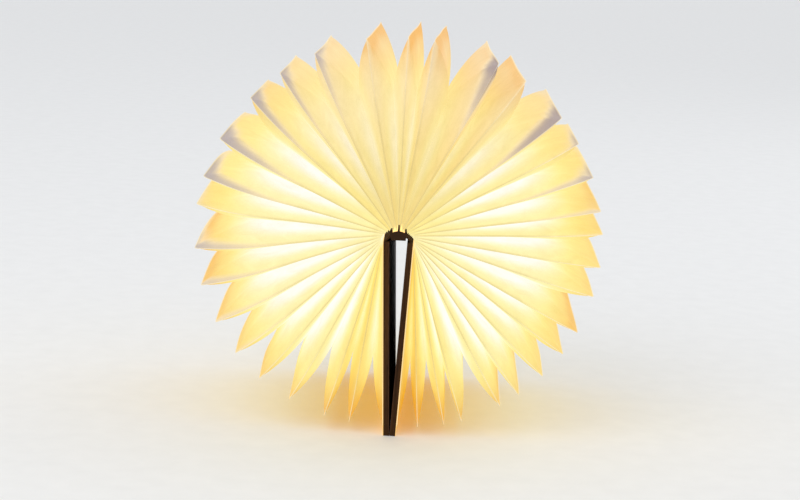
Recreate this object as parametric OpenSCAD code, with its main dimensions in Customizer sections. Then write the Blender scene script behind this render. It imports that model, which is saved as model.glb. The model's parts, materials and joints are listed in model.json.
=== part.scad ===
// Folding book lamp, opened right round so that its two covers stand back to back.
// +Z is up, the spine runs along Y, and the covers' fore-edges rest on z = 0.
// The paper shade is a U-shaped bellows. Each leaf of it turns about its own line
// at the spine, from all leaves parallel in the closed book to a full fan. Half a leaf,
// one end sheet, joins the first and the last of them to the covers' linings.

/* [Covers] */
// Length of the book along its spine
book_len = 215; // [170:5:260]
// Width of a cover from its hinge line to its fore-edge
cover_w = 161.5; // [140:0.5:190]
// Thickness of a cover's wooden core
board_t = 4; // [3.2:0.1:5]
// Thickness of the walnut veneer on a cover and the spine
veneer_t = 0.7; // [0.4:0.1:1.2]
// Thickness of the paper that lines a cover's inner face
liner_t = 0.4; // [0.2:0.1:0.8]
// Radius of a cover's corners
corner_r = 2; // [1:0.5:6]
// Gap between the two veneers at the fore-edges of the open lamp
fore_gap = 0.3; // [0.2:0.1:2]

/* [Magnets] */
// Radius of a cover magnet
magnet_r = 5; // [3:0.5:8]
// Thickness of a cover magnet
magnet_t = 2; // [1:0.25:2.5]
// Distance of a fore-edge magnet from the two edges beside it
magnet_inset = 14; // [12:1:25]
// Distance of the switch magnet from the hinge line
switch_magnet_w = 12; // [10:1:16]

/* [Hinges] */
// Distance between the two hinge lines of the rigid spine
spine_w = 14; // [13:0.5:16]
// Width of a flap from its spine hinge to its cover hinge
flap_w = 4; // [3.5:0.25:5.5]
// Thickness of a flap
flap_t = 1.2; // [0.8:0.1:1.5]
// Slope of a flap from level, downward when open and upward when closed
flap_tilt = 45; // [40:1:50]
// Radius of the rolled bead on a hinge line
bead_r = 0.8; // [0.6:0.05:0.9]
// Clearance of a moving piece from its neighbours
clearance = 0.3; // [0.2:0.05:0.4]

/* [Light bar] */
// Depth of the light channel below the hinge lines
channel_drop = 1.5; // [1:0.1:2.5]
// Height of the light channel's walls above the hinge lines
channel_rise = 2.9; // [2.6:0.1:3.4]
// Wall thickness of the light channel
channel_wall = 1; // [0.8:0.1:1.2]
// Height of the diffuser's straight edges on the channel's walls
diffuser_edge = 0.4; // [0.4:0.1:0.8]
// Rise of the diffuser's arch above its edges
diffuser_rise = 1.6; // [1.4:0.1:2]
// Thickness of the diffuser
diffuser_t = 0.8; // [0.6:0.1:1]
// Thickness of the LED board
led_board_t = 0.8; // [0.6:0.1:1]
// Number of LEDs along the board
led_count = 24; // [12:1:36]
// Width of an LED package
led_w = 3; // [2:0.5:3.5]
// Length of an LED package
led_l = 2.8; // [2:0.2:3.5]
// Height of an LED package
led_h = 0.7; // [0.5:0.1:0.8]

/* [Power] */
// Length of the flat battery cell
battery_len = 100; // [60:5:120]
// Length of the charging board
charge_board_len = 30; // [24:1:40]
// Thickness of the charging board
charge_board_t = 0.8; // [0.6:0.1:1]
// Width of the USB-C socket's shell
usb_w = 8.94; // [8.9:0.01:9]
// Height of the USB-C socket's shell
usb_h = 3.26; // [3.2:0.01:3.3]
// Length of the USB-C socket's shell
usb_len = 7.35; // [6.5:0.05:9]
// Wall thickness of the USB-C socket's shell
usb_wall = 0.35; // [0.25:0.05:0.4]
// Width of the socket's inner tongue
usb_tongue_w = 6.7; // [6.5:0.05:6.8]
// Depth of the socket's tongue behind its mouth
usb_mouth = 0.8; // [0.5:0.1:1.2]
// Length of the reed switch's glass
reed_len = 12; // [8:1:16]
// Radius of the reed switch's glass
reed_r = 1; // [0.8:0.1:1.2]
// Radius of a battery wire
wire_r = 0.4; // [0.3:0.05:0.5]

/* [End caps] */
// Thickness of an end cap along the spine
cap_t = 2; // [1.6:0.1:3]
// How far an end cap stands proud of the diffuser's top
cap_proud = 0.1; // [0:0.1:0.4]
// Length of the plug that holds an end cap under the diffuser
plug_len = 4; // [3:0.5:8]
// Height of the middle tooth above the arch
tooth_h = 5.2; // [2:0.1:7]
// Height of a side tooth above the arch at its own place
side_tooth_h = 4.8; // [1.5:0.1:6]
// Width of a tooth at its root
tooth_w = 2.6; // [1.6:0.1:3]

/* [Shade] */
// Number of leaves in the shade
leaf_count = 34; // [28:2:38]
// Length of the shade along the spine
shade_len = 210; // [160:5:255]
// Distance of the middle leaf's fold from the hinge lines
leaf_reach = 160.5; // [130:0.5:185]
// How much shorter the leaves beside the covers are
reach_drop = 4; // [0:0.5:8]
// Depth of a pleat from its outer fold to its inner fold
pleat_depth = 48; // [30:1:60]
// Thickness of one sheet of the shade's paper
paper_t = 0.25; // [0.15:0.01:0.3]
// Width of the glued seam along an outer fold
seam_w = 3.5; // [2:0.5:8]
// Gap between two neighbouring leaves at an inner fold
leaf_gap = 0.2; // [0.1:0.05:0.2]
// How far a leaf's panels swell outward, as a share of their spread
panel_bulge = 0.07; // [0:0.01:0.15]
// Room between the light bar's top and the middle leaf's inner end
inner_room = 0.9; // [0.5:0.1:2]
// Distance of a cover-side leaf's inner end from the hinge lines
inner_end_side = 11; // [10:0.5:14]
// Turn of the middle leaf away from upright in the open fan
fan_lean = 16.5; // [0:0.5:20]
// Crowding of the leaves toward the two covers and away from the top of the open fan
fan_bunch = 8; // [0:1:10]

/* [Hidden] */
$fn = 48;
span_steps = 4;      // stretches along a leaf's end, and along its fore-edge
eps = 1;             // overrun of a cutting tool

function leaf_name(i) = str("leaf_", i < 9 ? "0" : "", i + 1);

// The section of the book at its hinges, with x across and z up from the spine hinges.
cover_t = liner_t + board_t + veneer_t;
inner_face = cover_t / 2;                                // from a cover hinge to the liner's face
outer_face = cover_t - inner_face;                       // from a cover hinge to the veneer's face
spine_hinge_x = spine_w / 2;
cover_hinge_x = spine_hinge_x + flap_w * cos(flap_tilt);
cover_hinge_drop = flap_w * sin(flap_tilt);
bead_room = bead_r + clearance;                          // how near to a hinge line a neighbour comes

// Each open cover leans in until the veneers nearly meet at the fore-edges.
cover_diagonal = norm([cover_w, outer_face]);
lean = asin((cover_hinge_x - fore_gap / 2) / cover_diagonal) - atan2(outer_face, cover_w);
cover_hinge_z = cover_w * cos(lean) - outer_face * sin(lean);
spine_z = cover_hinge_z + cover_hinge_drop;              // height of the spine hinges

// The rigid spine and what it holds.
channel_half_w = spine_hinge_x - bead_room;
channel_len = shade_len + 2 * clearance;
channel_inner_half_w = channel_half_w - channel_wall;
channel_floor = -channel_drop + channel_wall / 2;        // top of the channel's floor
led_board_z = channel_rise - led_board_t;                // underside of the LED board
ledge_h = 0.5;
ledge_w = 0.6;
ledge_z = led_board_z - ledge_h;                         // underside of the LED board's ledges
light_top = channel_rise + diffuser_edge + diffuser_rise;
led_pitch = (channel_len - 2 * charge_board_len) / led_count;
battery_t = ledge_z - channel_floor - clearance / 2;
battery_w = 2 * (channel_inner_half_w - clearance);
battery_y = -channel_len / 2 + charge_board_len / 2;     // front end of the battery
charge_board_y = channel_len / 2 - charge_board_len;     // front end of the charging board
wire_x = 2;
cap_half_w = cover_hinge_x - inner_face - clearance;
tooth_x = cap_half_w - tooth_w / 2;
tooth_tip = 0.45;                                        // width of a tooth's tip over its root
cap_rise = light_top + cap_proud;
cap_edge = cap_rise / 2;                                 // height of a cap's straight edges
plug_fit = 0.1;
plug_lift = 0.3;                                         // clears the socket's shell

// Places along the fan. The share u runs from -1 at the left cover to 1 at the right cover,
// where the two end sheets are glued down.
fan_half = 180 + lean;
closed_half_w = cover_hinge_x - inner_face - leaf_gap;   // half width of the closed stack of leaves
stack_offset = cover_hinge_x - closed_half_w;            // from the last leaf's own line to its plane
half_share = 1 / (leaf_count + 1);                       // from a leaf's fold to its inner fold
function leaf_u(i) = 2 * (i + 1) * half_share - 1;
function leaf_angle(u) = fan_half * u + fan_lean * cos(90 * u) + fan_bunch * sin(180 * u);
function reach(u) = leaf_reach - reach_drop * u * u;
inner_end_mid = light_top + inner_room;
function inner_end(u) = inner_end_mid + (inner_end_side - inner_end_mid) * u * u;

// A point of the fan: r from its leaf's line, y along the spine, and aside of its plane.
function fan_point(u, r, y, aside = 0) =
    let (a = leaf_angle(u))
    [cover_hinge_x * u + r * sin(a) + (aside - stack_offset * u) * cos(a),
     y,
     spine_z + r * cos(a) - (aside - stack_offset * u) * sin(a)];

// The path of a leaf round its U: [outer fold r, y, inner fold r, y] at each station.
function leaf_path(u) =
    let (r0 = inner_end(u), r1 = reach(u), y1 = shade_len / 2, steps = span_steps)
    concat(
        [for (s = [0 : steps]) let (f = s / steps)
            [r0 + (r1 - r0) * f, -y1, r0 + (r1 - pleat_depth - r0) * f, -y1 + pleat_depth]],
        [for (s = [1 : steps - 1]) let (f = 2 * s / steps - 1)
            [r1, f * y1, r1 - pleat_depth, f * (y1 - pleat_depth)]],
        [for (s = [steps : -1 : 0]) let (f = s / steps)
            [r0 + (r1 - r0) * f, y1, r0 + (r1 - pleat_depth - r0) * f, y1 - pleat_depth]]
    );

// What both sections below start from: [fold, seam's edge, middle of the panel, inner fold, inward].
function panel(station) =
    let (fold = [station[0], station[1]], root = [station[2], station[3]],
         inward = (root - fold) / norm(root - fold), seam = fold + inward * seam_w)
    [fold, seam, (seam + root) / 2, root, inward];

mid_share = half_share * (0.5 + panel_bulge);            // from a leaf's fold to its panel's middle
fold_gap = leaf_gap / 2;
lining_gap = leaf_gap - cover_hinge_drop * sin(lean);    // from the end sheets' planes to the linings

// A leaf's closed section at one station: outer skin from inner fold to inner fold, then back inside.
function leaf_section(u, station) =
    let (p = panel(station), fold = p[0], seam = p[1], mid = p[2], root = p[3],
         apex = seam + p[4] * 2 * paper_t)
    [fan_point(u - half_share, root[0], root[1], fold_gap),
     fan_point(u - mid_share, mid[0], mid[1]),
     fan_point(u, seam[0], seam[1], -paper_t),
     fan_point(u, fold[0], fold[1], -paper_t),
     fan_point(u, fold[0], fold[1], paper_t),
     fan_point(u, seam[0], seam[1], paper_t),
     fan_point(u + mid_share, mid[0], mid[1]),
     fan_point(u + half_share, root[0], root[1], -fold_gap),
     fan_point(u + half_share, root[0], root[1], -fold_gap - paper_t),
     fan_point(u + mid_share, mid[0], mid[1], -paper_t),
     fan_point(u, apex[0], apex[1]),
     fan_point(u - mid_share, mid[0], mid[1], paper_t),
     fan_point(u - half_share, root[0], root[1], fold_gap + paper_t)];

// An end sheet's section, from its seam on the lining at u to the first inner fold, then back.
function end_section(u, station) =
    let (p = panel(station), fold = p[0], seam = p[1], mid = p[2], root = p[3],
         on_liner = u * lining_gap, top = u * (lining_gap - paper_t))
    [fan_point(u, fold[0], fold[1], top),
     fan_point(u, seam[0], seam[1], top),
     fan_point(u - u * mid_share, mid[0], mid[1], -u * paper_t / 2),
     fan_point(u - u * half_share, root[0], root[1], u * fold_gap),
     fan_point(u - u * half_share, root[0], root[1], u * (fold_gap + paper_t)),
     fan_point(u - u * mid_share, mid[0], mid[1], u * paper_t / 2),
     fan_point(u, seam[0], seam[1], on_liner),
     fan_point(u, fold[0], fold[1], on_liner)];

// Triangles that close the two ends of a leaf and of an end sheet, by the sections' point numbers.
leaf_ends = [[0, 1, 12], [1, 11, 12], [1, 2, 11], [2, 10, 11], [2, 3, 10], [3, 4, 10], [4, 5, 10],
             [5, 9, 10], [5, 6, 9], [6, 8, 9], [6, 7, 8]];
sheet_ends = [[0, 1, 7], [1, 6, 7], [1, 2, 6], [2, 5, 6], [2, 3, 5], [3, 4, 5]];

// A bellows panel from its sections. The sides in flipped have their quads split along the other
// diagonal on the first half, and all others on the second, so that both skins are split alike.
module bellows(sections, flipped, ends) {
    rings = len(sections);
    n = len(sections[0]);
    points = [for (section = sections) each section];
    sides = [for (k = [0 : rings - 2], j = [0 : n - 1])
        let (a = k * n + j, b = k * n + (j + 1) % n,
             listed = len(search(j, flipped)) > 0, far_half = 2 * k >= rings - 1)
        each listed != far_half ? [[a, a + n, b + n], [a, b + n, b]] : [[a, a + n, b], [b, a + n, b + n]]];
    last = (rings - 1) * n;
    far_ends = [for (t = ends) [last + t[2], last + t[1], last + t[0]]];
    color("#f7dfa0") polyhedron(points, concat(ends, sides, far_ends));
}

module leaf(i) {
    u = leaf_u(i);
    bellows([for (station = leaf_path(u)) leaf_section(u, station)], [0, 1, 8, 9], leaf_ends);
}

module end_sheet(side) {
    sections = [for (station = leaf_path(side)) end_section(side, station)];
    // The right sheet's section runs the other way round, so its points are taken backward.
    if (side < 0) bellows(sections, [4, 5, 6], sheet_ends);
    else bellows([for (s = sections) [for (j = [7 : -1 : 0]) s[j]]], [4, 5, 6], sheet_ends);
}

// Mirrors what is drawn for the right side onto the left one.
module on_side(side) {
    if (side > 0) children();
    else mirror([1, 0, 0]) children();
}

// An outline in x and z at the spine hinges, extruded along the spine from y0 to y1.
module along_spine(y0, y1) {
    translate([0, y1, spine_z]) rotate([90, 0, 0]) linear_extrude(y1 - y0) children();
}

// Puts a piece that hangs from the origin onto the right cover's hinge, and trims its foot level.
module on_cover() {
    intersection() {
        translate([cover_hinge_x, 0, cover_hinge_z]) rotate([0, lean, 0]) children();
        translate([-cover_w, -book_len, 0]) cube([2 * cover_w, 2 * book_len, 2 * cover_w]);
    }
}

// A layer of the right cover between two distances from its hinge plane, with rounded corners.
module cover_layer(x0, x1) {
    top = bead_room;
    foot = cover_w + eps;
    rotate([0, -90, 0]) translate([0, 0, -x1]) linear_extrude(x1 - x0) {
        translate([-foot, -book_len / 2 + corner_r]) square([foot - top, book_len - 2 * corner_r]);
        translate([-foot, -book_len / 2]) square([foot - top - corner_r, book_len]);
        for (y = [-1, 1]) translate([-top - corner_r, y * (book_len / 2 - corner_r)]) circle(corner_r);
    }
}

// The three magnet places of a cover, as cylinders sunk from the board's inner face.
module magnet_places(r, t) {
    x = inner_face - liner_t;
    for (y = [-1, 1]) magnet_place(cover_w - magnet_inset, y * (book_len / 2 - magnet_inset), x, r, t);
    magnet_place(switch_magnet_w, book_len / 2 - charge_board_len - reed_len, x, r, t);
}

module magnet_place(w, y, x, r, t) {
    translate([x - t, y, -w]) rotate([0, 90, 0]) cylinder(h = t, r = r);
}

module cover_board(side) {
    color("#2a1710") on_side(side) on_cover() difference() {
        cover_layer(-outer_face + veneer_t, inner_face - liner_t);
        translate([eps, 0, 0]) magnet_places(magnet_r + clearance / 2, magnet_t + eps);
    }
}

module cover_veneer(side) {
    color("#3a2115") on_side(side) on_cover() cover_layer(-outer_face, -outer_face + veneer_t);
}

module cover_liner(side) {
    color("#efd9a2") on_side(side) on_cover() cover_layer(inner_face - liner_t, inner_face);
}

module cover_magnets(side) {
    color("silver") on_side(side) on_cover() magnet_places(magnet_r, magnet_t);
}

// A flap with a rolled bead on each of its two hinge lines.
module flap(side) {
    color("#2a1710") on_side(side) along_spine(-shade_len / 2, shade_len / 2)
        translate([spine_hinge_x, 0]) rotate(-flap_tilt) {
            translate([0, -flap_t / 2]) square([flap_w, flap_t]);
            circle(bead_r);
            translate([flap_w, 0]) circle(bead_r);
        }
}

module spine_strip() {
    color("#3a2115") along_spine(-channel_len / 2, channel_len / 2)
        translate([-channel_half_w, -channel_drop - veneer_t]) square([2 * channel_half_w, veneer_t]);
}

// Outline of an arch: a circle's segment of that rise on straight edges that stand on y = 0.
module arch(half_w, edge, rise) {
    r = (half_w * half_w + rise * rise) / (2 * rise);
    intersection() {
        translate([0, edge + rise - r]) circle(r, $fn = 120);
        translate([-half_w, 0]) square([2 * half_w, edge + rise]);
    }
}

module light_channel() {
    color("#1d1d1f") difference() {
        along_spine(-channel_len / 2, channel_len / 2) difference() {
            translate([-channel_half_w, -channel_drop])
                square([2 * channel_half_w, channel_drop + channel_rise]);
            translate([-channel_inner_half_w, channel_floor])
                square([2 * channel_inner_half_w, ledge_z - channel_floor]);
            translate([-channel_inner_half_w + ledge_w, ledge_z - eps])
                square([2 * (channel_inner_half_w - ledge_w), 2 * eps]);
            translate([-channel_inner_half_w, led_board_z])
                square([2 * channel_inner_half_w, channel_rise - led_board_z + eps]);
        }
        // The ledges stop where the charging board and its socket need the whole height.
        translate([-channel_inner_half_w, charge_board_y, spine_z + channel_floor])
            cube([2 * channel_inner_half_w, charge_board_len + eps, channel_rise - channel_floor + eps]);
    }
}

module diffuser() {
    color("#fff3cf") along_spine(-channel_len / 2, channel_len / 2) translate([0, channel_rise]) {
        difference() {
            arch(channel_half_w, diffuser_edge, diffuser_rise);
            translate([0, -eps])
                arch(channel_inner_half_w, diffuser_edge + eps, diffuser_rise - diffuser_t);
        }
    }
}

module led_board() {
    w = 2 * channel_inner_half_w - clearance;
    color("#f2f2ee") translate([-w / 2, -channel_len / 2 + clearance, spine_z + led_board_z])
        cube([w, channel_len - charge_board_len - 2 * clearance, led_board_t]);
}

module leds() {
    first = -channel_len / 2 + charge_board_len / 2;
    color("#ffe9a8") for (k = [0 : led_count - 1])
        translate([-led_w / 2, first + (k + 0.5) * led_pitch - led_l / 2, spine_z + led_board_z + led_board_t])
            cube([led_w, led_l, led_h]);
}

module battery() {
    color("#9fb4c8") translate([-battery_w / 2, battery_y, spine_z + channel_floor]) {
        cube([battery_w, battery_len, battery_t]);
    }
}

module battery_wires() {
    color("firebrick") for (x = [-1, 1])
        translate([x * wire_x, battery_y + battery_len, spine_z + channel_floor + wire_r])
            rotate([-90, 0, 0]) cylinder(h = charge_board_y - battery_y - battery_len, r = wire_r);
}

module charge_board() {
    color("#1f5f3a") translate([-battery_w / 2, charge_board_y, spine_z + channel_floor])
        cube([battery_w, charge_board_len, charge_board_t]);
}

// A stadium outline: a rectangle with half-round ends.
module stadium(w, h) {
    square([w - h, h], center = true);
    for (x = [-1, 1]) translate([x * (w - h) / 2, 0]) circle(h / 2);
}

module usb_socket() {
    y1 = channel_len / 2;
    color("silver") translate([0, 0, channel_floor + charge_board_t + usb_h / 2]) {
        along_spine(y1 - usb_len, y1) difference() {
            stadium(usb_w, usb_h);
            stadium(usb_w - 2 * usb_wall, usb_h - 2 * usb_wall);
        }
        along_spine(y1 - usb_len, y1 - usb_len + usb_wall) stadium(usb_w, usb_h);
        along_spine(y1 - usb_len, y1 - usb_mouth) square([usb_tongue_w, 2 * usb_wall], center = true);
    }
}

module reed_switch() {
    y = charge_board_y - 2 * reed_len;
    color("#cfe3d0") translate([0, y, spine_z + channel_floor + reed_r])
        rotate([-90, 0, 0]) cylinder(h = reed_len, r = reed_r);
}

// The cap's face outline: it covers the strip and the channel, and its arch stands over the diffuser.
module cap_outline() {
    translate([-channel_half_w, -channel_drop - veneer_t])
        square([2 * channel_half_w, channel_drop + veneer_t + cap_edge]);
    arch(cap_half_w, cap_edge, cap_rise - cap_edge);
}

// The plug's outline, which fits the diffuser's inner arch.
module plug_outline() {
    translate([0, channel_rise + plug_lift]) arch(channel_inner_half_w - plug_fit,
        diffuser_edge - plug_lift, diffuser_rise - diffuser_t - plug_fit);
}

// A tapered tooth on the cap's arch, from the cap's middle to its own height h.
module tooth(x, h) {
    tip = tooth_w * tooth_tip / 2;
    translate([x, 0]) polygon([[-tooth_w / 2, 0], [-tip, h], [tip, h], [tooth_w / 2, 0]]);
}

module front_end_cap() {
    y1 = -channel_len / 2;
    color("#17100c") union() {
        along_spine(y1 - cap_t, y1) {
            cap_outline();
            tooth(0, cap_rise + tooth_h);
            for (x = [-1, 1]) tooth(x * tooth_x, cap_edge + side_tooth_h);
        }
        along_spine(y1 - eps, y1 + plug_len) plug_outline();
    }
}

module back_end_cap() {
    y0 = channel_len / 2;
    color("#17100c") difference() {
        union() {
            along_spine(y0, y0 + cap_t) cap_outline();
            along_spine(y0 - plug_len, y0 + eps) plug_outline();
        }
        translate([0, 0, channel_floor + charge_board_t + usb_h / 2])
            along_spine(y0 - plug_len - eps, y0 + cap_t + eps) stadium(usb_w, usb_h);
    }
}

spine_strip();
light_channel();
diffuser();
led_board();
leds();
battery();
battery_wires();
charge_board();
usb_socket();
reed_switch();
front_end_cap();
back_end_cap();
flap(-1);  // left_flap
flap(1);  // right_flap
cover_board(-1);  // left_cover_board
cover_veneer(-1);  // left_cover_veneer
cover_liner(-1);  // left_cover_liner
cover_magnets(-1);  // left_cover_magnets
cover_board(1);  // right_cover_board
cover_veneer(1);  // right_cover_veneer
cover_liner(1);  // right_cover_liner
cover_magnets(1);  // right_cover_magnets
end_sheet(-1);  // left_end_sheet
end_sheet(1);  // right_end_sheet
for (i = [0 : leaf_count - 1])
    leaf(i);
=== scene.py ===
"""The looks of a folding book lamp that stands open on its covers, its paper shade lit from inside."""

import json
import math

import bpy
import numpy as np
from mathutils import Matrix, Vector


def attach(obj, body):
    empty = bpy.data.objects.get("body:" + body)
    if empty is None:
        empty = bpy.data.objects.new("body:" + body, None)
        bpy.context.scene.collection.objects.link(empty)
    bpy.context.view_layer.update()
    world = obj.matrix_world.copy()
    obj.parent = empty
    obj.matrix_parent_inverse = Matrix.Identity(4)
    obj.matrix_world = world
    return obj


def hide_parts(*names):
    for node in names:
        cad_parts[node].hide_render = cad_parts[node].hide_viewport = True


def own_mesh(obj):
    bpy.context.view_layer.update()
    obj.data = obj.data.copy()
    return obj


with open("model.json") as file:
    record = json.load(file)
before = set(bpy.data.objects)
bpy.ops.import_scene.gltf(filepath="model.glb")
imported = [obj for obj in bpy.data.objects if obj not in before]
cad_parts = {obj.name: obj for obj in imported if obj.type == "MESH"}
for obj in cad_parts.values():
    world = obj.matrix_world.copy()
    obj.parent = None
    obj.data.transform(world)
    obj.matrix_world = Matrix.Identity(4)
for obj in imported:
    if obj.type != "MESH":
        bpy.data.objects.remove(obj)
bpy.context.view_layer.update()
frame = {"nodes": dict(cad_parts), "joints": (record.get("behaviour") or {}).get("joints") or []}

MM = 0.001

# ------------------------------------------- the lamp's own sizes: its hinges', and those of its paper

LEAVES = sorted(name for name in frame["nodes"] if name.startswith("leaf_"))
HINGES = {joint["name"]: joint for joint in frame["joints"]}
COUNT = len(LEAVES)
SPINE_Z = HINGES["left_flap_hinge"]["pos_m"][2]
COVER_HINGE_X = HINGES["right_cover_hinge"]["pos_m"][0]
LEAN = math.radians(HINGES["right_cover_hinge"]["range_deg"][1] - 90.01)
SHADE_LEN = 210 * MM
REACH = 160.5 * MM                # from the hinge lines to the middle leaf's outer fold
REACH_DROP = 4 * MM               # how much shorter the leaves beside the covers are
PLEAT = 48 * MM                   # depth of a pleat
SEAM = 2 * MM                     # width of the glued seam along an outer fold
SKIN = 0.22 * MM                  # half of the paper's thickness on each side of its middle
INNER_END_MID = 5.8 * MM          # where the middle leaf starts, from the hinge lines
INNER_END_SIDE = 11 * MM          # and where the leaves beside the covers do
STACK_OFFSET = 2.75 * MM          # how far aside of its hinge line an end sheet's plane lies
FAN_LEAN = math.radians(16.5)     # turn of the middle leaf away from upright
FAN_BUNCH = math.radians(8)       # crowding of the leaves toward the covers
LEAF_GAP = 0.02 * MM              # between neighbouring leaves at an inner fold
LINING_GAP = 0.08 * MM            # from an end sheet's own plane to the lining it is glued to
HALF_SHARE = 1 / (COUNT + 1)      # share of the fan from a leaf's outer fold to its inner fold
END_HALF = SHADE_LEN / 2

# ---------------------------------------------------------------- camera

PITCH = math.radians(10.28)
AZIMUTH = math.radians(-0.90)
ROLL = math.radians(-2.72)
DISTANCE = 1.675
LOOK_AT = Vector((0, 0, 0.1348))
FOCAL_PX = 1954
PICTURE_PX = (800, 500)


def camera_axes():
    """The picture's right and top and the way that the camera looks, in the lamp's frame."""
    ahead = math.cos(PITCH)
    forward = Vector((math.sin(AZIMUTH) * ahead, math.cos(AZIMUTH) * ahead, -math.sin(PITCH)))
    level = Vector((math.cos(AZIMUTH), -math.sin(AZIMUTH), 0))
    up = level.cross(forward)
    right = level * math.cos(ROLL) - up * math.sin(ROLL)
    top = level * math.sin(ROLL) + up * math.cos(ROLL)
    return right, top, forward


def seen_at(pixel, y):
    """The point behind a pixel on the upright plane across the lamp at y."""
    right, top, forward = camera_axes()
    aside = pixel[0] - PICTURE_PX[0] / 2
    above = PICTURE_PX[1] / 2 - pixel[1]
    sight = forward + (right * aside + top * above) / FOCAL_PX
    eye = LOOK_AT - forward * DISTANCE
    return eye + sight * ((y - eye.y) / sight.y)


def make_camera():
    data = bpy.data.cameras.new("camera")
    data.sensor_width = 36
    data.lens = data.sensor_width * FOCAL_PX / PICTURE_PX[0]
    camera = bpy.data.objects.new("camera", data)
    bpy.context.collection.objects.link(camera)
    right, top, forward = camera_axes()
    turn = Matrix((right, top, -forward)).transposed()
    camera.matrix_world = Matrix.Translation(LOOK_AT - forward * DISTANCE) @ turn.to_4x4()
    data.clip_start = 0.05
    data.clip_end = 100
    bpy.context.scene.camera = camera


# ---------------------------------------------------------------- materials


def linear(rgb):
    """A colour written in 0 to 255 as the eye sees it, as linear light."""
    value = np.asarray(rgb, float) / 255
    return np.where(value <= 0.04045, value / 12.92, ((value + 0.055) / 1.055) ** 2.4)


class Nodes:
    """A material's node tree, with short calls for what the materials below need."""

    def __init__(self, name, roughness=0.5, **sockets):
        self.material = bpy.data.materials.new(name)
        self.material.use_nodes = True
        self.tree = self.material.node_tree
        self.shader = self.tree.nodes["Principled BSDF"]
        self.shader.inputs["Roughness"].default_value = roughness
        for socket, value in sockets.items():
            self.shader.inputs[socket.replace("_", " ")].default_value = value

    def add(self, kind, **values):
        node = self.tree.nodes.new(kind)
        for key, value in values.items():
            if key in node.inputs:
                node.inputs[key].default_value = value
            else:
                setattr(node, key, value)
        return node

    def link(self, source, target):
        self.tree.links.new(source, target)

    def place(self, scale=(1, 1, 1)):
        """Coordinates in the object's own space, stretched by scale."""
        where = self.add("ShaderNodeTexCoord")
        mapping = self.add("ShaderNodeMapping")
        mapping.inputs["Scale"].default_value = scale
        self.link(where.outputs["Object"], mapping.inputs["Vector"])
        return mapping.outputs["Vector"]

    def noise(self, where, scale, detail=4, roughness=0.55, distortion=0):
        node = self.add("ShaderNodeTexNoise", Scale=scale, Detail=detail, Roughness=roughness,
                        Distortion=distortion)
        self.link(where, node.inputs["Vector"])
        return node.outputs["Fac"]

    def ramp(self, factor, stops):
        node = self.add("ShaderNodeValToRGB")
        elements = node.color_ramp.elements
        while len(elements) < len(stops):
            elements.new(0.5)
        for element, (position, colour) in zip(elements, stops):
            element.position = position
            element.color = (*colour, 1)
        self.link(factor, node.inputs["Fac"])
        return node.outputs["Color"]

    def mix(self, kind, factor, a, b):
        node = self.add("ShaderNodeMix", data_type="RGBA", blend_type=kind)
        for value, socket in ((factor, 0), (a, 6), (b, 7)):
            if isinstance(value, (int, float)):
                node.inputs[socket].default_value = value
            elif isinstance(value, tuple):
                node.inputs[socket].default_value = (*value, 1)
            else:
                self.link(value, node.inputs[socket])
        return node.outputs[2]

    def bump(self, height, strength, distance):
        node = self.add("ShaderNodeBump", Strength=strength, Distance=distance)
        self.link(height, node.inputs["Height"])
        self.link(node.outputs["Normal"], self.shader.inputs["Normal"])

    def base(self, colour):
        self.link(colour, self.shader.inputs["Base Color"])


def paper_material():
    """Spun paper lit from behind: the mesh's tone and glow, which carry painted shade, painted room light
    and painted highlights, broken up by its swirled fibres.
    """
    nodes = Nodes("spun_paper", roughness=0.75)
    nodes.shader.inputs["Emission Strength"].default_value = 1
    glow = nodes.add("ShaderNodeAttribute", attribute_name="glow").outputs["Color"]
    tone = nodes.add("ShaderNodeAttribute", attribute_name="tone").outputs["Color"]
    where = nodes.place()
    cloud = nodes.noise(where, 55, detail=3, distortion=1.2)
    fibre = nodes.noise(where, 420, detail=6, roughness=0.72, distortion=2.5)
    soft = nodes.ramp(cloud, [(0.25, (0.9, 0.9, 0.86)), (0.75, (1.03, 1.03, 1.05))])
    fine = nodes.ramp(fibre, [(0.3, (0.93, 0.92, 0.88)), (0.7, (1.03, 1.03, 1.04))])
    lit = nodes.mix("MULTIPLY", 1.0, nodes.mix("MULTIPLY", 1.0, glow, soft), fine)
    nodes.link(lit, nodes.shader.inputs["Emission Color"])
    nodes.base(nodes.mix("MULTIPLY", 1.0, tone, fine))
    nodes.bump(fibre, 0.3, 0.0004)
    return nodes.material


def walnut_material(name, grain_along, dark, light, roughness=0.5):
    """Dark walnut: long streaks along one axis, fine pores and a satin finish."""
    nodes = Nodes(name, roughness=roughness, Specular_IOR_Level=0.15)
    stretch = [22, 22, 22]
    stretch[grain_along] = 1.2
    where = nodes.place(tuple(stretch))
    streak = nodes.noise(where, 6, detail=8, roughness=0.62, distortion=0.6)
    pores = nodes.noise(nodes.place(tuple(14 * s for s in stretch)), 7, detail=3)
    middle = tuple(0.5 * (a + b) for a, b in zip(dark, light))
    tone = nodes.ramp(streak, [(0.28, dark), (0.52, middle), (0.74, light)])
    pore = nodes.ramp(pores, [(0.34, (0.35, 0.33, 0.3)), (0.48, (1, 1, 1))])
    nodes.base(nodes.mix("MULTIPLY", 0.8, tone, pore))
    nodes.bump(pores, 0.2, 0.0003)
    return nodes.material


def moulded_material(name, colour, roughness, grain=900, depth=0.15, drift=0.18, **sockets):
    """Plastic, card or metal with a fine surface grain and a little tonal drift."""
    nodes = Nodes(name, roughness=roughness, **sockets)
    where = nodes.place()
    low = tuple(c * (1 - drift) for c in colour)
    high = tuple(min(1, c * (1 + drift)) for c in colour)
    nodes.base(nodes.ramp(nodes.noise(where, 45, detail=3), [(0.3, low), (0.7, high)]))
    nodes.bump(nodes.noise(where, grain, detail=2), depth, 0.0002)
    return nodes.material


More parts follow.
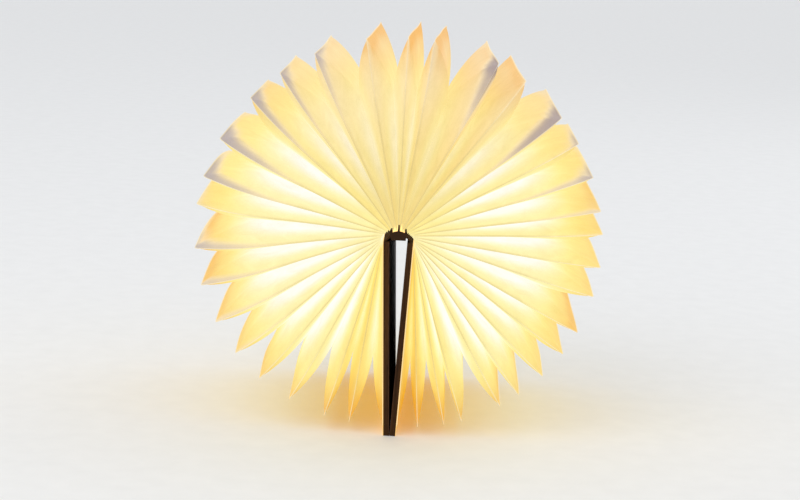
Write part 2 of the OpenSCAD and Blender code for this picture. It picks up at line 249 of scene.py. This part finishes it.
def lit_material(name, colour, strength):
    """A diffuser or LED face that glows, a little uneven along its length; the cover liners use it for
    painted light.
    """
    nodes = Nodes(name, roughness=0.4)
    nodes.shader.inputs["Emission Strength"].default_value = strength
    uneven = nodes.noise(nodes.place(), 110, detail=2)
    glow = nodes.ramp(uneven, [(0.2, tuple(c * 0.85 for c in colour)), (0.8, colour)])
    nodes.link(glow, nodes.shader.inputs["Emission Color"])
    nodes.base(glow)
    return nodes.material


def dress(node, material):
    """Gives a CAD node's object a better material."""
    obj = frame["nodes"][node]
    if not obj.material_slots:
        obj.data.materials.append(material)
    for place in obj.material_slots:
        place.material = material


# ---------------------------------------------------------------- the fan's geometry


# Where each leaf's near tip is seen in the picture, as read off in px, from the left cover round.
NEAR_TIPS = ((348, 422), (324, 413), (288, 400), (258, 380), (234, 355), (215, 322), (200, 286),
             (195, 248), (198, 205), (205, 176), (223, 140), (250, 100), (282, 73.5), (314, 54),
             (365, 35), (407.6, 34), (437, 39.5), (498.5, 64), (527, 77.5), (562, 119), (577, 145),
             (593, 178), (601, 210), (603, 236), (601, 268), (595, 296), (580, 334), (564, 355),
             (543, 378), (521, 396), (497, 401), (461, 417), (444, 428), (417, 424))
# The far tips that show, by leaf.
FAR_TIPS = {10: (229, 150), 11: (243, 110), 12: (268, 79), 13: (299, 58), 14: (331, 35),
            15: (382, 21), 16: (421.5, 20), 17: (447, 25), 18: (486, 40), 19: (511, 55),
            20: (546, 88), 21: (566, 123), 22: (576, 147)}
# How many degrees further round than its near end a hidden far one lies, by its fore-edge's slope.
FAR_TURN = {8: 0.5, 23: 1, 24: 1, 25: 0.5, 26: 0.5}
# Where a leaf gets painted shade instead of glow, in margins that stay unlit: at its corner, its end and
# its fore-edge.
UNLIT = {5: (0, 0.15, 0), 6: (0, 0.3, 0), 7: (0.1, 0.45, 0), 8: (0.4, 0.55, 0.25),
         9: (0.2, 0.05, 0.15), 10: (0.7, 0.7, 0.9), 11: (1, 0.8, 0.4), 12: (0.9, 0.7, 0.5),
         13: (0.8, 0.6, 0.3), 14: (0.5, 0.5, 0.5), 15: (0, 0.2, 0), 16: (0, 0.2, 0),
         17: (0, 0.25, 0), 18: (1, 0.7, 0.4), 19: (0, 0.1, 0.1), 20: (1, 1, 0.6),
         21: (0.3, 0.1, 0.6), 22: (0.6, 0.5, 0.3), 23: (0.2, 0.3, 0), 24: (0, 0.1, 0)}
# How orange each leaf's fore-edge glows.
WARMTH = (0.8, 0.7, 0.6, 0.5, 0.4, 0.6, 0.8, 0.9, 0.2, 0.2, 0.2, 0.4, 0.3, 0.4, 0.9, 1, 0.9,
          0.4, 0.6, 0.3, 0.2, 0.2, 0.6, 0.2, 0.2, 0.3, 0.8, 0.2, 0.2, 0.4, 0.6, 0.6, 0.6, 0.9)


def leaf_share(index):
    """The place of a leaf's outer fold: -1 at the left cover to 1 at the right one."""
    return 2 * (index + 1) * HALF_SHARE - 1


def leaf_angle(u):
    return (math.pi + LEAN) * u + FAN_LEAN * np.cos(math.pi / 2 * u) + FAN_BUNCH * np.sin(math.pi * u)


def tip_stray(index, pixel, y):
    """How far a leaf's tip strays from its even place in the fan, to half a degree."""
    u = leaf_share(index)
    tip = seen_at(pixel, y)
    angle = math.atan2(tip.x - COVER_HINGE_X * u, tip.z - SPINE_Z) + math.atan2(STACK_OFFSET * u, REACH)
    return round(2 * math.degrees(angle - leaf_angle(u))) / 2


def strays():
    """How many degrees each leaf strays, at its near end and at its far one."""
    near = [tip_stray(index, pixel, -END_HALF) for index, pixel in enumerate(NEAR_TIPS)]
    far = [turn + FAR_TURN.get(index + 1, 0) for index, turn in enumerate(near)]
    for leaf, pixel in FAR_TIPS.items():
        far[leaf - 1] = tip_stray(leaf - 1, pixel, END_HALF)
    return near, far


NEAR_STRAY, FAR_STRAY = strays()


def stray(u, y):
    """How far the paper strays from the even fan; neighbouring leaves agree where they meet."""
    places = [-1] + [leaf_share(index) for index in range(COUNT)] + [1]
    near, far = (np.interp(u, places, np.radians((0, *table, 0))) for table in (NEAR_STRAY, FAR_STRAY))
    return near + (far - near) * (0.5 + y / SHADE_LEN)


def fan_point(u, r, y, aside, angle=None):
    """Points of the fan, from arrays of the share u, the radius r, the place y and the way aside."""
    angle = leaf_angle(u) + stray(u, y) if angle is None else angle
    beside = aside - STACK_OFFSET * u
    x = COVER_HINGE_X * u + r * np.sin(angle) + beside * np.cos(angle)
    z = SPINE_Z + r * np.cos(angle) - beside * np.sin(angle)
    return np.stack([x, y + 0 * x, z], axis=-1)


def smooth(low, high, value):
    share = np.clip((value - low) / (high - low), 0, 1)
    return share * share * (3 - 2 * share)


def hill(value, middle, width):
    return np.exp(-(((value - middle) / width) ** 2))


SAG = 3 * MM                      # how far the ends' folds hang below a straight line, on the left
BOW = 6 * MM                      # how far the fore-edges rise above one in their middle
PANEL_SWELL = 0.09                # how far a panel swells, as a share of its spread
NEAR_CORNER = (2.6 * MM, 0.8 * MM)    # a near corner's radius, and how much it varies from leaf to leaf
FAR_CORNER = (7 * MM, 2 * MM)         # the same for a far corner
END_STEPS = 24
CORNER_STEPS = 5
EDGE_STEPS = 30


def leaf_path(u, near_r, far_r):
    """Stations round a leaf's U with rounded corners: the outer fold's r and y, then the inner fold's."""
    r0 = INNER_END_MID + (INNER_END_SIDE - INNER_END_MID) * u * u
    r1 = REACH - REACH_DROP * u * u
    halves = []
    for corner_r in (near_r, far_r):
        rows = []
        for f in np.linspace(0, 1, END_STEPS + 1)[:-1] ** 0.9:
            rows.append((r0 + (r1 - corner_r - r0) * f, -END_HALF,
                         r0 + (r1 - PLEAT - r0) * f, -END_HALF + PLEAT))
        for turn in np.linspace(0, math.pi / 2, CORNER_STEPS + 1):
            rows.append((r1 - corner_r * (1 - math.sin(turn)), -END_HALF + corner_r * (1 - math.cos(turn)),
                         r1 - PLEAT, -END_HALF + PLEAT))
        for f in np.linspace(1, 0, EDGE_STEPS // 2 + 1)[1:]:
            rows.append((r1, -f * (END_HALF - corner_r), r1 - PLEAT, -f * (END_HALF - PLEAT)))
        halves.append(rows)
    near, far = halves
    return np.array(near + [(r, -y, root_r, -root_y) for r, y, root_r, root_y in reversed(far[:-1])])


# Steps across a panel from the seam (0) to the inner fold (1), and across the seam to the outer fold (1).
ACROSS = (0, 0.06, 0.12, 0.19, 0.27, 0.36, 0.46, 0.57, 0.68, 0.79, 0.9, 1)
SEAM_STEPS = (0.3, 0.75, 1)

# The lit paper's colour, from the dimmest to the brightest, and the colours that its places turn to.
PALETTE = linear([(150, 92, 32), (214, 150, 62), (242, 192, 100), (252, 224, 134), (254, 240, 162),
                  (255, 248, 200), (255, 254, 246)])
CREAM = linear((248, 227, 184))
ORANGE = linear((242, 180, 88))
FOLD_HIGHLIGHT = linear((252, 240, 208))
FOLD_SHADE = linear((214, 192, 124))
WARM_TONE = np.array((0.33, 0.24, 0.13))       # the paper's base colour where light comes through it, kept dark and warm so that the glow sets the look
LILAC_TONE = np.array((0.49, 0.43, 0.44))      # painted shade with a lilac tint of room light, where no glow comes through, at the near corner
PINK_TONE = np.array((0.64, 0.50, 0.38))       # and with a pink tint at the far one
TOP_LOSS = np.array((0.10, 0.13, 0))           # share of each colour the top pages lose near the spine
MARGIN_PAINTED_SHADE = np.array((0.20, 0.26, 0.29))     # and, as painted shade, the unlit margins to the right of them
STUDIO = 0.85                                  # how bright the studio light leaves a surface
MARGIN_PAINTED_LIGHT = 1.1                              # painted light: how much brighter an unlit margin is than its tone


def blended(a, b, share):
    return a * (1 - share[..., None]) + b * share[..., None]


def unlit_share(bare, share, from_end, from_edge, toward):
    """How much painted shade takes the place of the glow at a point round the page's edge."""
    corner, end, edge = bare
    end_width = (4 + 22 * end) * MM * (0.1 + 0.9 * smooth(0.3, 1, share) ** 1.5)
    along_end = end ** 0.5 * smooth(1, 0.2, from_end / end_width) * smooth(0.3, 0.9, share)
    along_edge = edge ** 0.5 * smooth(1, 0.2, from_edge / ((2 + 9 * edge) * MM))
    blob = corner * smooth(1, 0.3, np.hypot(from_end / (90 * MM), from_edge / (17 * MM)))
    lit = (1 - 0.9 * along_end) * (1 - 0.85 * along_edge) * (1 - 0.9 * blob)
    return (1 - lit) * (0.45 + 0.55 * toward)


def light_power(turn, share, deep, up, seed):
    """How strong the light behind the paper is: 0 is the palette's dimmest colour and 1 its brightest."""
    angle = np.abs(turn)
    foot = smooth(math.radians(150), math.radians(178), angle)
    level = smooth(math.radians(60), math.radians(100), angle) * (1 - foot)
    shade = hill(turn, math.radians(22), math.radians(16)) * smooth(0.1, 0.8, share)
    power = 0.68 - 0.07 * up - 0.12 * foot - 0.16 * shade + 0.04 * seed
    # It is strongest half-way out and deep in the pleats, and at the sides also near the spine.
    power = power + (0.36 - 0.16 * up - 0.1 * foot) * hill(share, 0.5, 0.3) * deep
    power = power + 0.2 * level * smooth(0.5, 0.15, share) * (0.5 + 0.5 * deep)
    power = power + 0.1 * hill(angle, math.radians(105), math.radians(38)) * hill(share, 0.55, 0.35)
    # The pleats right beside the covers are dimmer, and so are the fore-edges.
    by_cover = hill(turn, math.radians(-168), math.radians(4))
    by_cover = by_cover + hill(turn, math.radians(179), math.radians(4))
    power = power - 0.17 * by_cover * smooth(1, 0.7, share)
    return power - 0.17 * smooth(0.7, 1, share) - 0.14 * foot * smooth(0.5, 1, share)


def paper_light(u0, u, r, y, across, strip, side, inside, nature):
    """The paper's tone and glow at each vertex, as linear colours, with painted shade, painted room light
    and painted highlights in them.
    """
    bare, warmth, seed = nature
    outside = 1 - inside
    turn = leaf_angle(u)
    share = np.clip(r / REACH, 0, 1)
    up = smooth(1.2, 0.35, np.abs(turn))
    deep = smooth(0.05, 0.85, across)
    from_end = END_HALF - np.abs(y)
    from_edge = REACH - REACH_DROP * u0 * u0 - r
    from_fold = (1 - strip) * SEAM + across * PLEAT
    toward = smooth(60 * MM, -60 * MM, y)

    power = np.where(inside, 0.9, np.clip(light_power(turn, share, deep, up, seed), 0.02, 1))
    steps = np.linspace(0, 1, len(PALETTE))
    seen = np.stack([np.interp(power, steps, PALETTE[:, c]) for c in range(3)], axis=-1)
    seen = seen * (1 - (up * smooth(0.9, 0.1, share) * outside)[..., None] * TOP_LOSS)
    # Painted room light: the outer parts of the top leaves turn cream, less so deep in the pleats.
    seen = blended(seen, CREAM, 0.7 * up * smooth(0.25, 0.8, share) * (1 - 0.5 * deep))

    glow_width = (7 + 9 * warmth) * MM
    corner_glow = smooth(2.4 * glow_width, 0, np.hypot(from_end / 4, from_edge))
    edge_glow = np.clip(smooth(glow_width, 0, from_edge) + 0.6 * corner_glow, 0, 1)
    seen = blended(seen, ORANGE, 0.8 * warmth * edge_glow * outside)

    # Each end's fold is a thin line of painted shade near the spine, where the glued seam lets less light
    # through, that turns into a painted highlight near the corner.
    at_end = smooth(0, 8 * MM, from_edge - from_end)
    line = smooth(6 * MM, 1 * MM, from_fold) * at_end * outside
    seen = blended(seen, FOLD_SHADE, 0.55 * line * smooth(0.03, 0.1, share) * smooth(0.95, 0.5, share))
    rim_highlight = smooth(1.6 * MM, 0, from_fold) * smooth(0.6, 0.9, share) * outside * (1 - 0.8 * up * at_end)

    # Only a leaf's upper panel shows the margins that the light doesn't reach.
    lower = smooth(0.05, 0.2, abs(u0)) * (side * np.sign(u0) > 0)
    unlit = unlit_share(bare, share, from_end, from_edge, toward) * (1 - lower) * outside
    # Painted shade in the unlit margins: lilac towards the near end, pink towards the far one, darker on
    # the top leaves right of the spine, with a faint painted light over it.
    margin_shade = hill(turn, math.radians(30), math.radians(26))
    shaded_tone = blended(PINK_TONE + 0 * seen, LILAC_TONE, toward)
    shaded_tone = shaded_tone * (1 - margin_shade[..., None] * MARGIN_PAINTED_SHADE)
    tone = blended(WARM_TONE + 0 * seen, shaded_tone, unlit)
    seen = blended(seen, CREAM, smooth(0, 0.6, unlit))
    seen = blended(seen, shaded_tone * STUDIO * MARGIN_PAINTED_LIGHT, smooth(0.3, 1, unlit))
    # The painted highlight along the outer folds.
    seen = blended(seen, FOLD_HIGHLIGHT, 0.7 * rim_highlight)
    return tone, np.clip(seen - STUDIO * tone, 0, 1)


def warp(u, r, y):
    """The paper's slow waves and the belly of its pages; neighbouring leaves agree where they meet."""
    share = r / REACH
    far = share ** 2 * (1 - u ** 8)
    wave = np.sin(61.7 * u + 1.3) * 0.7 + np.sin(143.1 * u + 9 * y / SHADE_LEN) * 0.5
    twist = np.sin(29.3 * u + 2.1) * 2 * y / SHADE_LEN
    sag = SAG * np.sin(math.pi * share ** 2.5) * (2 * y / SHADE_LEN) ** 2
    bow = BOW * share ** 4 * np.cos(math.pi * y / SHADE_LEN)
    belly = np.sin(leaf_angle(u)) * (0.65 - 0.35 * np.tanh(3 * u)) * (1 - u ** 8) * (sag - bow)
    return MM * far * (0.6 * wave + 0.5 * twist) + belly


def leaf_ring():
    """One ring of a leaf's section: side, place across, place in the seam, and skin (1 outer, 0 inner)."""
    out = [(-1, s, 0, 1) for s in reversed(ACROSS)] + [(-1, 0, s, 1) for s in SEAM_STEPS]
    out += [(-side, s, strip, skin) for side, s, strip, skin in reversed(out)]
    back = [(1, s, 0, 0) for s in reversed(ACROSS[1:])] + [(0, 0, 0, 0)]
    back += [(-1, s, 0, 0) for s in ACROSS[1:]]
    half, turn, last = len(ACROSS), len(ACROSS) + len(SEAM_STEPS), len(out) + len(back) - 1
    caps = [(k, k + 1, last - 1 - k, last - k) for k in range(half - 1)]
    caps += [(k, k + 1, 2 * turn - 2 - k, 2 * turn - 1 - k) for k in range(half - 1, turn - 1)]
    caps += [(half - 1, 2 * turn - half, len(out) + half - 1)]
    caps += [(2 * turn - 1 - k, len(out) + k, len(out) + k + 1, 2 * turn - 2 - k) for k in range(half - 1)]
    return np.array(out + back, float), caps


def sheet_ring(side):
    """The ring of an end sheet, which has one panel only."""
    out = [(side, s, 0, 1) for s in reversed(ACROSS)] + [(side, 0, s, 1) for s in SEAM_STEPS]
    ring = (out + [(s, a, strip, 0) for s, a, strip, skin in reversed(out)])[::-side]
    last = len(ring) - 1
    return np.array(ring, float), [(k, k + 1, last - 1 - k, last - k) for k in range(len(out) - 1)]


def make_panels(name, u0, ring, caps, nature, paper):
    """A leaf or an end sheet whose outer fold lies at the share u0 of the fan."""
    seed = nature[2]
    near_r, far_r = (radius + change * seed for radius, change in (NEAR_CORNER, FAR_CORNER))
    path = leaf_path(u0, near_r, far_r)
    fold, root = path[:, None, :2], path[:, None, 2:]
    inward = (root - fold) / np.linalg.norm(root - fold, axis=2, keepdims=True)
    seam = fold + inward * SEAM
    side, across, strip, skin = (ring[None, :, k] for k in range(4))
    flat = seam + (root - seam) * across[..., None]
    flat = flat + (fold - seam) * strip[..., None]
    flat = flat + np.where(side == 0, 1, 0)[..., None] * inward * 3 * SKIN
    r, y = flat[..., 0], flat[..., 1]
    spread = side * np.clip(across + PANEL_SWELL * np.sin(math.pi * across ** 0.8), 0, 1)
    if abs(u0) < 1:
        aside = np.where(skin > 0, 1, -1) * side * SKIN
    else:
        aside = u0 * (LINING_GAP - 2 * SKIN * skin) * (1 - across) + u0 * SKIN * (1 - 2 * skin) * across
    aside = np.where(across >= 1, -side * (LEAF_GAP + np.where(skin > 0, 0, 2 * SKIN)), aside)
    u = u0 + HALF_SHARE * spread
    points = fan_point(u, r, y, aside + warp(u, r, y))
    inside = np.broadcast_to(skin == 0, r.shape).astype(float)
    tone, glow = paper_light(u0, u, r, y, across + 0 * r, strip + 0 * r, side + 0 * r, inside, nature)
    return skin_mesh(name, points, tone, glow, caps, paper)


SHARP_ANGLE = math.radians(35)


def skin_mesh(name, points, tone, glow, caps, paper):
    """A closed thin skin from rings of points; caps are the faces that close its two ends."""
    rings, n = points.shape[:2]
    k, j = np.meshgrid(np.arange(rings - 1), np.arange(n), indexing="ij")
    a, b = k * n + j, k * n + (j + 1) % n
    faces = np.stack([a, a + n, b + n, b], axis=-1).reshape(-1, 4)[:, ::-1].tolist()
    last = (rings - 1) * n
    faces += [list(reversed(cap)) for cap in caps] + [[last + place for place in cap] for cap in caps]
    mesh = bpy.data.meshes.new(name)
    mesh.from_pydata(points.reshape(-1, 3).tolist(), [], faces)
    for layer, values in (("tone", tone), ("glow", glow)):
        colours = np.ones((rings * n, 4), np.float32)
        colours[:, :3] = values.reshape(-1, 3)
        mesh.attributes.new(layer, "FLOAT_COLOR", "POINT").data.foreach_set("color", colours.ravel())
    mesh.materials.append(paper)
    mesh.shade_smooth()
    mesh.set_sharp_from_angle(angle=SHARP_ANGLE)
    obj = bpy.data.objects.new(name, mesh)
    bpy.context.collection.objects.link(obj)
    return obj


LINING_WARMTH = 0.8               # how orange the end sheets' fore-edges glow


def add_paper(piece, node):
    """Puts a paper piece in its CAD node's place."""
    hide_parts(node)
    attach(piece, node)
    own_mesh(piece)


def make_shade(paper):
    ring, caps = leaf_ring()
    for index, leaf in enumerate(LEAVES):
        u0 = leaf_share(index)
        seed = math.sin(12.9898 * (index + 1)) * 43758.5453 % 1 * 2 - 1
        nature = (UNLIT.get(index + 1, (0, 0, 0)), WARMTH[index], seed)
        add_paper(make_panels(f"{leaf}_paper", u0, ring, caps, nature, paper), leaf)
    for node, u0 in (("left_end_sheet", -1), ("right_end_sheet", 1)):
        ring, caps = sheet_ring(-u0)
        nature = ((0, 0, 0), LINING_WARMTH, 0)
        add_paper(make_panels(f"{node}_paper", u0, ring, caps, nature, paper), node)


# ---------------------------------------------------------------- stage and light

LAMP_SIZE = 2.4
LIT_POINT = (0, 0, 0.15)


def make_stage():
    half = 30
    corners = [(-half, -half, 0), (half, -half, 0), (half, half, 0), (-half, half, 0)]
    mesh = bpy.data.meshes.new("floor")
    mesh.from_pydata(corners, [], [(0, 1, 2, 3)])
    floor = bpy.data.objects.new("floor", mesh)
    bpy.context.collection.objects.link(floor)
    pale = moulded_material("pale_floor", (0.85, 0.845, 0.835), 0.75, grain=60, depth=0.0, drift=0.015)
    mesh.materials.append(pale)


def area_light(name, place, power, colour):
    """A soft round lamp that looks at the fan."""
    data = bpy.data.lights.new(name, "AREA")
    data.shape = "DISK"
    data.size = LAMP_SIZE
    data.energy = power
    data.color = colour
    lamp = bpy.data.objects.new(name, data)
    bpy.context.collection.objects.link(lamp)
    lamp.location = place
    lamp.rotation_euler = (Vector(LIT_POINT) - Vector(place)).to_track_quat("-Z", "Y").to_euler()


def make_light():
    world = bpy.data.worlds.new("studio")
    bpy.context.scene.world = world
    world.use_nodes = True
    sky = world.node_tree.nodes["Background"]
    sky.inputs["Color"].default_value = (0.95, 0.97, 1, 1)
    sky.inputs["Strength"].default_value = 0.9
    area_light("key", (-1.4, -1.6, 2.2), power=16, colour=(1, 0.98, 0.96))
    area_light("fill", (1.8, 1.2, 1.6), power=6, colour=(0.96, 0.98, 1))
    bpy.context.scene.view_settings.view_transform = "Standard"


# ---------------------------------------------------------------- the whole lamp

make_camera()
paper = paper_material()
make_shade(paper)

walnut = walnut_material("walnut_veneer", grain_along=1,
                         dark=(0.022, 0.0085, 0.0028), light=(0.105, 0.040, 0.0125))
edge_wood = walnut_material("board_edge", grain_along=2, roughness=0.85,
                            dark=(0.014, 0.0050, 0.0011), light=(0.078, 0.030, 0.0065))
cloth = moulded_material("spine_cloth", (0.050, 0.021, 0.006), 0.95, grain=1500, depth=0.4,
                         Specular_IOR_Level=0.1)
cap = moulded_material("cap_plastic", (0.036, 0.015, 0.005), 0.7, Specular_IOR_Level=0.12)
channel = moulded_material("black_anodised", (0.03, 0.03, 0.032), 0.35, Metallic=0.8)
steel = moulded_material("plated_steel", (0.62, 0.62, 0.64), 0.28, Metallic=1.0)
board_green = moulded_material("circuit_green", (0.02, 0.11, 0.05), 0.3)
board_white = moulded_material("led_board_white", (0.8, 0.8, 0.78), 0.35)
foil = moulded_material("cell_foil", (0.28, 0.36, 0.46), 0.3, Metallic=0.5)
wire_red = moulded_material("wire_jacket", (0.35, 0.02, 0.015), 0.5)
glass = moulded_material("reed_glass", (0.5, 0.62, 0.55), 0.08, Transmission_Weight=0.7)
lit_led = lit_material("lit_led", (1.0, 0.66, 0.25), 1.2)
lit_strip = lit_material("lit_diffuser", (1.0, 0.66, 0.27), 0.8)

for side in ("left", "right"):
    dress(f"{side}_cover_veneer", walnut)
    dress(f"{side}_cover_board", edge_wood)
    dress(f"{side}_cover_magnets", steel)
    dress(f"{side}_flap", cloth)
dress("spine_strip", walnut)
dress("front_end_cap", cap)
dress("back_end_cap", cap)
dress("light_channel", channel)
dress("usb_socket", steel)
dress("charge_board", board_green)
dress("led_board", board_white)
dress("battery", foil)
dress("battery_wires", wire_red)
dress("reed_switch", glass)
dress("leds", lit_led)
dress("diffuser", lit_strip)

# Painted light: the cover liners glow as if lit by the shade, though they are no lamp.
liner_painted_glow = lit_material("painted_liner_glow", (0.85, 0.52, 0.16), 0.6)
for side in ("left", "right"):
    dress(f"{side}_cover_liner", liner_painted_glow)

make_stage()
make_light()
